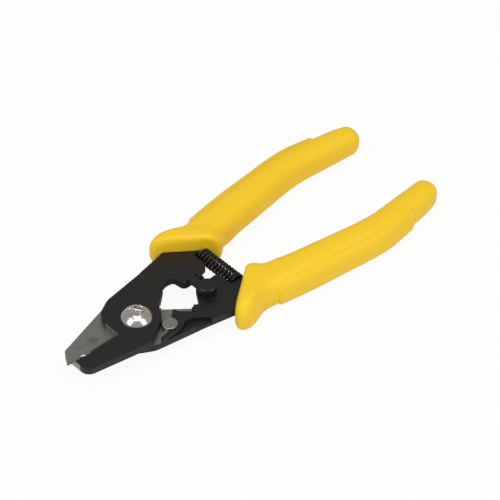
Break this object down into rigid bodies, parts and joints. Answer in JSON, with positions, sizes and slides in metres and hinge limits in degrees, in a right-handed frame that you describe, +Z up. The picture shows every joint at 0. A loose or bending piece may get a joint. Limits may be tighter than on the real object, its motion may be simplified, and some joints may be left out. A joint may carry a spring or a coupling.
{
  "type": "fibre stripper",
  "caption": "Three-hole fibre stripper: crossed black steel levers on a screw pivot, yellow moulded grips, return spring and swing latch.",
  "frame": {"origin": "centre of the bounding box, on the plane that the two finger guards rest on", "axes": "+X along the tool from the jaws to the handles, +Y towards the upper lever's handle, +Z up along the pivot screw, out of its head"},
  "size_m": [0.1426, 0.0546, 0.0136],
  "materials": {
    "lever_steel": "satin black oxide, with ground contact faces and bevels",
    "black_steel": "satin black oxide",
    "plated_steel": "bright nickel plate",
    "bright_steel": "turned",
    "spring_steel": "black spring wire",
    "grip_plastic": "soft matte, yellow"
  },
  "bodies": {
    "lower": {"lever_b": "lever_steel", "grip_b": "grip_plastic", "pivot_screw": "plated_steel", "pivot_washer": "bright_steel", "pivot_nut": "black_steel", "stop_pin": "bright_steel", "return_spring": "spring_steel"},
    "upper": {"lever_a": "lever_steel", "grip_a": "grip_plastic", "catch_pin": "bright_steel"},
    "latch": {"latch_hook": "black_steel", "latch_knob": "black_steel", "latch_ring": "bright_steel"}
  },
  "joints": [
    {"name": "jaw_open", "type": "hinge", "parent": "lower", "child": "upper", "pos_m": [-0.043, 0, 0.0068], "axis": [0, 0, 1], "range_deg": [0, 12], "deforming": ["return_spring"]},
    {"name": "latch_swing", "type": "hinge", "parent": "lower", "child": "latch", "pos_m": [-0.0182, -0.0055, 0.0068], "axis": [0, 0, 1], "range_deg": [0, 72]}
  ],
  "couplings": [
    {"joint": "latch_swing", "follows": "jaw_open", "ratio": 6}
  ]
}
